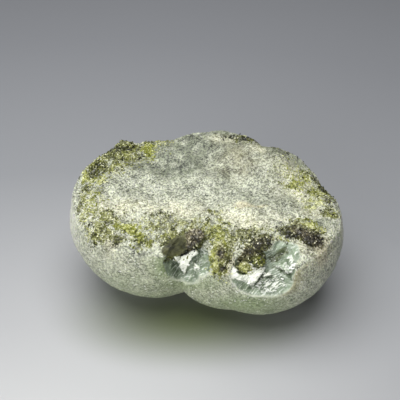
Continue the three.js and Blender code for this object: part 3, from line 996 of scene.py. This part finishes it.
def glass_colour(tree, zone, fibre, streak):
    """Bluish glass whose facets differ a little, with glints along the fibres."""
    glint = add(tree, "MapRange", (fibre, 0.54, 0.62, 0.0, 0.6))
    ragged = add(tree, "MapRange", (fibre, 0.4, 0.6, -1.0, 0.0))
    whiteness = add(tree, "Math", (zone["white"], 1.6, ragged), operation="MULTIPLY_ADD", use_clamp=True)
    murk, airy = (layered(tree, dark, (streak, 1.0, light)) for dark, light in (MURK, AIRY))
    return layered(tree, GLASS_DARK, (zone["facet"], 1.0, GLASS_LIGHT), (glint, 1.0, GLINT),
                   (zone["murk"], 1.0, murk), (whiteness, 1.0, airy))


def wall_colour(tree, zone, tone, streak):
    """The dark slab at the left of the left chip, streaked along the fibres."""
    streaked = add(tree, "Mix", {0: 0.6, 2: tone, 3: streak})
    by_facet = add(tree, "Mix", {0: 0.45, 2: streaked, 3: zone["facet"]})
    return layered(tree, WALL_COLOURS[0], (by_facet, 1.0, WALL_COLOURS[1]))


print("streaks of", " by ".join(str(size) for _, size in FIBRE_WAYS), "mm in the glass")

# %% Grains of epidote in the skin
# Each colour of epidote as stops of a ramp, from the darkest to the lightest.
EPIDOTE_OLIVES = [(0.0, "#131404"), (0.25, "#42431b"), (0.5, "#777a45"), (0.75, "#acae7b"), (1.0, "#e1e2bd")]
EPIDOTE_YELLOWS = [(0.0, "#262a03"), (0.25, "#555c10"), (0.5, "#878c30"), (0.75, "#b0b45a"), (1.0, "#dcdfa2")]
EPIDOTE_BROWNS = [(0.0, "#171409"), (0.25, "#4a442f"), (0.5, "#80795d"), (0.75, "#b4ad8d"), (1.0, "#e6e0c6")]


def epidote_colour(tree, light, yellow, brown):
    """Olive, shading to yellow-green and to the brown of the weathered cores."""
    ramps = (EPIDOTE_OLIVES, EPIDOTE_YELLOWS, EPIDOTE_BROWNS)
    olives, yellows, browns = (add(tree, "ValToRGB", (light,), stops=ramp) for ramp in ramps)
    return layered(tree, olives, (yellow, 1.0, yellows), (brown, 1.0, browns))


def epidote_grains(tree, zone, grain, cluster):
    """Where the grains of the skin are epidote, and their colour. A grain is epidote where its own number
    is below the share of epidote round it."""
    lot = add(tree, "Mix", {0: 0.45, 2: grain[1], 3: cluster[1]})
    left_over = add(tree, "Math", (zone["crust"], lot), operation="SUBTRACT")
    is_epidote = add(tree, "MapRange", (left_over, -0.03, 0.03))
    own_light = add(tree, "Mix", {0: 0.3, 2: grain[2], 3: zone["clump"]})
    own_light = add(tree, "MapRange", (own_light, 0.1, 0.9, 0.25, 1.0))
    light = add(tree, "Math", (zone["dark"], -0.55, own_light), operation="MULTIPLY_ADD")
    return is_epidote, epidote_colour(tree, light, zone["yellow"], zone["brown"])


print("epidote runs from", EPIDOTE_OLIVES[0][1], "to", EPIDOTE_OLIVES[-1][1])

# %% Prehnite
# The index of prehnite, how far light goes in, in mm, and how the colours of light share that reach.
PREHNITE_IOR, LIGHT_REACH, LIGHT_PARTS = 1.63, 1.2, (1.0, 1.2, 0.6)
# The finest crystal tips are too small for the mesh, so they are bumps: their size and depth in mm.
SUGAR_MM, SUGAR_DEPTH = 0.28, 0.12


def drusy_prehnite():
    """Prehnite is a hydrous calcium aluminium silicate that grew here as a crust of crystal tips. They
    scatter light at the skin, so it looks frosted, while light that gets in comes out again green."""
    material, tree = new_material("drusy_prehnite")
    place = millimetres(tree)
    zone = {name: add(tree, "Attribute", (), out="Fac", attribute_name=name) for name in zones}
    grain, cluster = cells(tree, place, GRAIN_MM), cells(tree, place, CLUSTER_MM)
    tone = crystal_tone(tree, place, grain[0])
    fibre = fibres(tree, place, zone["facet"])
    streak = add(tree, "MapRange", (fibre, 0.38, 0.62))
    # Painted glints, as white specks, lie on the balls, not in the chips or on the worn face.
    bare = add(tree, "Math", (zone["chip"], zone["top"]), operation="MAXIMUM")
    glint_lot = add(tree, "Math", (grain[1], bare), operation="ADD")
    is_painted_glint = add(tree, "Math", (glint_lot, PAINTED_GLINT_SHARE), operation="LESS_THAN")
    is_epidote, epidote = epidote_grains(tree, zone, grain, cluster)
    colour = layered(
        tree, skin_colour(tree, zone, tone),
        (zone["chip"], 1.0, glass_colour(tree, zone, fibre, streak)),
        # The painted highlight along the edge of the chips.
        (zone["edge"], 0.7, RIM_HIGHLIGHT),
        (is_painted_glint, 0.8, PAINTED_GLINT),
        (is_epidote, 1.0, epidote),
        (zone["wall"], 1.0, wall_colour(tree, zone, tone, streak)),
    )

    sugar = add(tree, "TexVoronoi", {"Vector": place, "Scale": 1 / SUGAR_MM}, feature="SMOOTH_F1")
    sunk = add(tree, "Math", (sugar, -0.7), operation="MULTIPLY")
    height = add(tree, "Math", (grain[0], 0.5, sunk), operation="MULTIPLY_ADD")
    # The skin is frosted, and the chips are smoother and shine more.
    frosted = add(tree, "Math", (1.0, zone["chip"]), operation="SUBTRACT")
    strength = add(tree, "MapRange", (frosted, 0.0, 1.0, 0.12, 0.8))
    bump = add(tree, "Bump", {"Height": height, "Distance": SUGAR_DEPTH * MM, "Strength": strength})
    # Light goes into the bare skin, a little into the glass, and not into epidote, the wall or white scales.
    opaque = add(tree, "Math", (zone["chip"], 0.7), operation="MULTIPLY")
    for covering in (is_epidote, zone["wall"], zone["white"]):
        opaque = add(tree, "Math", (opaque, covering), operation="MAXIMUM")
    let_in = add(tree, "Math", (1.0, opaque), operation="SUBTRACT")
    return finished(material, {
        "Base Color": colour,
        "Roughness": add(tree, "MapRange", (frosted, 0.0, 1.0, 0.3, 0.6)),
        "IOR": PREHNITE_IOR,
        "Subsurface Weight": add(tree, "Math", (let_in, 0.35), operation="MULTIPLY"),
        "Subsurface Radius": LIGHT_PARTS,
        "Subsurface Scale": LIGHT_REACH * MM,
        "Specular IOR Level": 0.4,
        "Sheen Weight": 0.1,
        "Sheen Roughness": 0.4,
        "Normal": bump,
    })


stone.data.materials.append(drusy_prehnite())

# %% [markdown]
# ## Epidote crystals
# Epidote grows as short prisms with a chisel end, from olive-black to yellow-green. On this stone they
# sit along the rim of the worn face and fill the edges of the chips. Particles or instances could
# scatter them, but joined meshes from arrays keep every crystal in the exported model.

# %% Forms and scattering
# Forms of length 1 and width 1. A prism is flatter one way, and bevelled from here on to a narrow ridge.
FLATNESS, BEVEL_AT, RIDGE = 0.7, 0.75, 0.5
# The corners of a flake: where each lies round its middle in degrees, and how far out as a part of half.
FLAKE_ANGLES, FLAKE_REACH, FLAKE_RIM = (0, 60, 135, 210, 290), (1.0, 0.75, 1.1, 0.7, 1.05), 0.85


def crystal_form():
    """A prism along x of length 1 and width 1, whose second end is bevelled to a ridge."""
    ring = np.array([(0, -0.5, -0.5), (0, 0.5, -0.5), (0, 0.5, 0.5), (0, -0.5, 0.5)]) * (1, 1, FLATNESS)
    ridge = np.array([(1, -0.5 * RIDGE, 0), (1, 0.5 * RIDGE, 0)])
    sides = [(k, (k + 1) % 4, 4 + (k + 1) % 4, 4 + k) for k in range(4)]
    ends = [(3, 2, 1, 0), (4, 5, 9, 8), (6, 7, 8, 9), (5, 6, 9), (7, 4, 8)]
    return np.concatenate([ring, ring + (BEVEL_AT, 0, 0), ridge]), sides + ends


def flake_form():
    """An uneven five-cornered flake, 1 across and 1 thick along x, with a bevelled rim."""
    angles, reach = np.radians(FLAKE_ANGLES), 0.5 * np.array(FLAKE_REACH)
    ring = np.stack([np.zeros(5), reach * np.cos(angles), reach * np.sin(angles)], axis=1)
    sides = [(k, (k + 1) % 5, 5 + (k + 1) % 5, 5 + k) for k in range(5)]
    return np.concatenate([ring, ring * FLAKE_RIM + (1, 0, 0)]), sides + [(4, 3, 2, 1, 0), (5, 6, 7, 8, 9)]


def unit(vectors):
    """The same directions with length 1."""
    return vectors / np.linalg.norm(vectors, axis=1)[:, None]


def turned_to(direction, along):
    """Rotation matrices whose first column is the direction and whose second is nearest to along."""
    third = unit(np.cross(direction, along))
    return np.stack([direction, np.cross(third, direction), third], axis=2)


def scattered(name, form, spots, direction, along, sizes, tones):
    """One mesh of copies of a form, which each start at their spot and point in their direction."""
    corners, form_faces = form
    sized = corners[None] * sizes[:, None, :]
    placed = np.einsum("mij,mpj->mpi", turned_to(direction, along), sized) + spots[:, None, :]
    starts = range(0, placed.shape[0] * len(corners), len(corners))
    faces = [[start + k for k in face] for start in starts for face in form_faces]
    repeated = {tone: np.repeat(values, len(corners)) for tone, values in tones.items()}
    return mesh_object(name, placed.reshape(-1, 3), faces, repeated)


for title, (corners, form_faces) in (("crystal", crystal_form()), ("flake", flake_form())):
    print("a", title, "has", len(corners), "corners and", len(form_faces), "faces")

# %% Epidote crystals
CRYSTALS, SEED = 12000, 20
# Sizes in mm: the shortest crystal, how much longer and wider the others can be, and how deep they sit.
SHORTEST, LONGER, NARROWEST, WIDER, WIDTH_BY_LENGTH, SUNK = 0.22, 0.65, 0.11, 0.12, 0.14, 0.6
# How a crystal's direction is shared between straight out of the skin and any way at all.
STRAIGHT_OUT, ASTRAY = 0.45, 0.6
# How light a crystal is where none are dark, what the darkest places take off, and how much the clumps
# and the single crystals differ.
LIGHTNESS, DARKENED, CLUMPS_DIFFER, CRYSTALS_DIFFER = 0.72, 0.6, 0.5, 0.18
# Some crystals are weathered pale, and fewer of the dark ones.
PALE_SHARE, PALE_LIGHT, PALE_GREEN = 0.16, 0.95, 0.1

# They grow where the crust is dense, above the foot of the stone and not over the dark wall.
draw = np.random.default_rng(SEED)
normals = normals_of(points, quads)
beside_wall = smooth(-outside(WALL, seen_across, seen_up), -0.5, -0.2) * (y < LEFT_CHIP_BACK)
want = crust**1.5 * (1 - beside_wall) * smooth(z, 10, 15)
chosen = draw.choice(len(points), CRYSTALS, p=want / want.sum())
direction = unit(normals[chosen] * STRAIGHT_OUT + draw.normal(size=(CRYSTALS, 3)) * ASTRAY)
direction *= np.where((direction * normals[chosen]).sum(axis=1) < 0, -1, 1)[:, None]
length = SHORTEST + LONGER * draw.random(CRYSTALS) ** 4
width = NARROWEST + WIDER * draw.random(CRYSTALS) + WIDTH_BY_LENGTH * length
spread = CLUMPS_DIFFER * (clump[chosen] - 0.5) + CRYSTALS_DIFFER * draw.normal(size=CRYSTALS)
light = LIGHTNESS - DARKENED * dark[chosen] + spread * (1 - 0.2 * dark[chosen] ** 2)
is_pale = draw.random(CRYSTALS) < PALE_SHARE * (1 - 0.7 * dark[chosen])
light = np.clip(np.where(is_pale, PALE_LIGHT, light), 0, 1)
green = yellow[chosen] + 0.2 * draw.normal(size=CRYSTALS)
green = np.clip(np.where(is_pale, PALE_GREEN, green), 0, 1)
spots = points[chosen] - direction * (SUNK * length)[:, None]
sizes = np.stack([length, width, width], axis=1)
along = draw.normal(size=(CRYSTALS, 3))
tones = dict(light=light, yellow=green, brown=brown[chosen])
epidote = scattered("epidote_crystals", crystal_form(), spots, direction, along, sizes, tones)
print(CRYSTALS, "crystals,", round(float(length.min()), 2), "to", round(float(length.max()), 2), "mm long")

# %% Epidote
EPIDOTE_IOR = 1.75


def glossy_epidote():
    """Epidote grows with smooth prism faces and has a high index, so each crystal glints by itself."""
    material, tree = new_material("glossy_epidote")
    light, green, weathered = (
        add(tree, "Attribute", (), out="Fac", attribute_name=name) for name in ("light", "yellow", "brown")
    )
    colour = epidote_colour(tree, light, green, weathered)
    return finished(material, {"Base Color": colour, "Roughness": 0.35, "IOR": EPIDOTE_IOR})


epidote.data.materials.append(glossy_epidote())

# %% [markdown]
# ## Flakes of the cleaved chips
# Prehnite cleaves into thin scales, and the air under a scale makes it white. The scales are real
# plates, so that each has its own crisp rim and its own glint. A texture of cracks would be quicker, but
# its scales could not stand one above another.

# %% Flakes
# In each mark: how many flakes, their smallest and largest size, and how white they are at least and most.
FLAKES = {
    "feather": (8, 0.6, 1.3, 0.9, 1.0),
    "white shelf": (22, 0.5, 1.3, 0.9, 1.0),
    "upper flakes": (52, 0.25, 1.0, 0.6, 1.0),
    "terraces": (90, 0.2, 0.8, 0.4, 1.0),
    "grey facet": (16, 0.2, 0.6, 0.3, 0.9),
    "low glass": (12, 0.2, 0.6, 0.4, 0.9),
    "streaked side": (10, 0.3, 0.8, 0.2, 0.6),
    "dark ledge": (3, 0.3, 0.6, 0.5, 0.9),
    "upper glass": (8, 0.2, 0.6, 0.3, 0.6),
}
FLAKE_THICKNESS, FLAKE_RISE = 0.12, 0.22
# The flakes face up more than the floor of the chip does, each a little its own way, and lie with their
# long sides up to the right, as seen from the front.
FLAKES_LEAN, FLAKES_ASTRAY = (0.0, -0.1, 0.9), 0.22
CLEAVED_ALONG = np.array([0.8, 0.0, 0.5])

# A flake starts on the floor of a chip, inside its mark, and not where the floor faces back.
picked, across, whiteness = [], [], []
for name, (count, smallest, largest, greyest, whitest) in FLAKES.items():
    inside = (outside(MARKS[name][0], seen_across, seen_up) < 0) & (chip > 0.5) & (normals[:, 1] < 0.3)
    picked.append(draw.choice(np.nonzero(inside)[0], count))
    across.append(smallest + (largest - smallest) * draw.random(count) ** 2)
    whiteness.append(greyest + (whitest - greyest) * draw.random(count))
picked, across, whiteness = (np.concatenate(parts) for parts in (picked, across, whiteness))
facing = unit(normals[picked] + FLAKES_LEAN + FLAKES_ASTRAY * draw.normal(size=(len(picked), 3)))
spots = points[picked] + facing * (FLAKE_RISE * (draw.random(len(picked)) - 0.6))[:, None]
sizes = np.stack([np.full(len(picked), FLAKE_THICKNESS), across, across * 0.5], axis=1)
along = CLEAVED_ALONG + 0.3 * draw.normal(size=(len(picked), 3))
flakes = scattered("cleaved_flakes", flake_form(), spots, facing, along, sizes, dict(white=whiteness))
print(len(picked), "flakes, up to", round(float(across.max()), 2), "mm across")


# %% Cleaved prehnite
def cleaved_prehnite():
    """The same mineral where it has cleaved: smooth, bluish, and white where air lies under a scale."""
    material, tree = new_material("cleaved_prehnite")
    white = add(tree, "Attribute", (), out="Fac", attribute_name="white")
    colour = layered(tree, "#6d7d6c", (white, 1.0, "#fbfcf4"))
    return finished(material, {"Base Color": colour, "Roughness": 0.3, "IOR": PREHNITE_IOR})


flakes.data.materials.append(cleaved_prehnite())

# %% [markdown]
# ## Studio
# A plain sheet with a pool of light painted on it at the front, one large soft lamp overhead, and a little
# light from all around. A small lamp would give the stone a hard shadow. This one is large, so the shadow
# hugs the stone and fades outwards. Under the cleft a shadow is painted on the paper, tinted green.

# %% Floor
FLOOR_HALF = 600.0
corners = [(sx * FLOOR_HALF, sy * FLOOR_HALF, 0) for sx, sy in ((-1, -1), (1, -1), (1, 1), (-1, 1))]
floor = mesh_object("floor", corners, [(0, 1, 2, 3)])

# A painted pool of light on the paper: lightest at this place, and greyer out to this reach in mm.
PAINTED_LIGHT_AT, PAPER_REACH = (-28.0, -64.0, 0.0), 170.0
PAINTED_LIGHT_FALLOFF = [(0.0, "#d6d7d6"), (0.3, "#b0b1b3"), (0.6, "#929498"), (1.0, "#8a8c91")]
# A painted shadow on an oval of the paper under the cleft, dark and tinted green as if by light that has
# come through the stone.
GREEN_AT, GREEN_REACH, GREEN_SHAPE, GREEN_SHARE = (-2.0, -12.0, 0.0), 16.0, (0.58, 1.0, 1.0), 0.8
PAINTED_GREEN_SHADOW = "#525f18"


def studio_paper():
    """Matt paper with a painted pool of light, from a light front to a grey back, and a painted shadow tinted
    green under the stone's cleft.
    """
    material, tree = new_material("studio_paper")
    place = millimetres(tree)
    away = add(tree, "VectorMath", (place, PAINTED_LIGHT_AT), out="Value", operation="DISTANCE")
    shade = add(tree, "MapRange", (away, 0.0, PAPER_REACH))
    paper = add(tree, "ValToRGB", (shade,), stops=PAINTED_LIGHT_FALLOFF)
    squeezed = add(tree, "VectorMath", (place, GREEN_SHAPE), operation="MULTIPLY")
    away = add(tree, "VectorMath", (squeezed, GREEN_AT), out="Value", operation="DISTANCE")
    green = add(tree, "MapRange", (away, GREEN_REACH, 0.0, 0.0, GREEN_SHARE), interpolation_type="SMOOTHSTEP")
    colour = layered(tree, paper, (green, 1.0, PAINTED_GREEN_SHADOW))
    return finished(material, {"Base Color": colour, "Roughness": 0.7})


floor.data.materials.append(studio_paper())

# %% Light
# Each lamp: its name, its place, the place it aims at, how wide it is in mm and its power in watts.
LAMPS = [
    ("softbox", (-32.0, -10.0, 260.0), (0, 0, 10), 300.0, 0.98),
    ("reflector", (-140.0, -290.0, 110.0), (0, 0, 12), 260.0, 0.62),
]
ROOM_COLOUR, ROOM_STRENGTH = "#e4e8cc", 0.02

for name, place, aim, wide, watts in LAMPS:
    lamp = bpy.data.lights.new(name, "AREA")
    lamp.shape = "DISK"
    lamp.size = wide * MM
    lamp.energy = watts
    holder = bpy.data.objects.new(name, lamp)
    holder.location = Vector(place) * MM
    holder.rotation_euler = (Vector(aim) - Vector(place)).to_track_quat("-Z", "Y").to_euler()
    bpy.context.collection.objects.link(holder)
    print(name, "of", watts, "W, aimed from", place)
world = bpy.data.worlds.new("studio")
world.use_nodes = True
world.node_tree.nodes["Background"].inputs["Color"].default_value = linear(ROOM_COLOUR)
world.node_tree.nodes["Background"].inputs["Strength"].default_value = ROOM_STRENGTH
bpy.context.scene.world = world
bpy.context.scene.view_settings.view_transform = "Standard"

# %% [markdown]
# ## Joining the model
# The stone is one rigid thing, so its three meshes ride on the one body and stand for the one solid. The
# new meshes could be laid over the solid, but then its plain facets would show through the chips.

# %% Riding and replacing
for piece, slot in ((stone, "prehnite"), (flakes, "prehnite"), (epidote, "epidote")):
    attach(piece, "root")
    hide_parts(STONE_NODE)
    print(piece.name, "has", sum(len(face.vertices) - 2 for face in piece.data.polygons), "triangles")
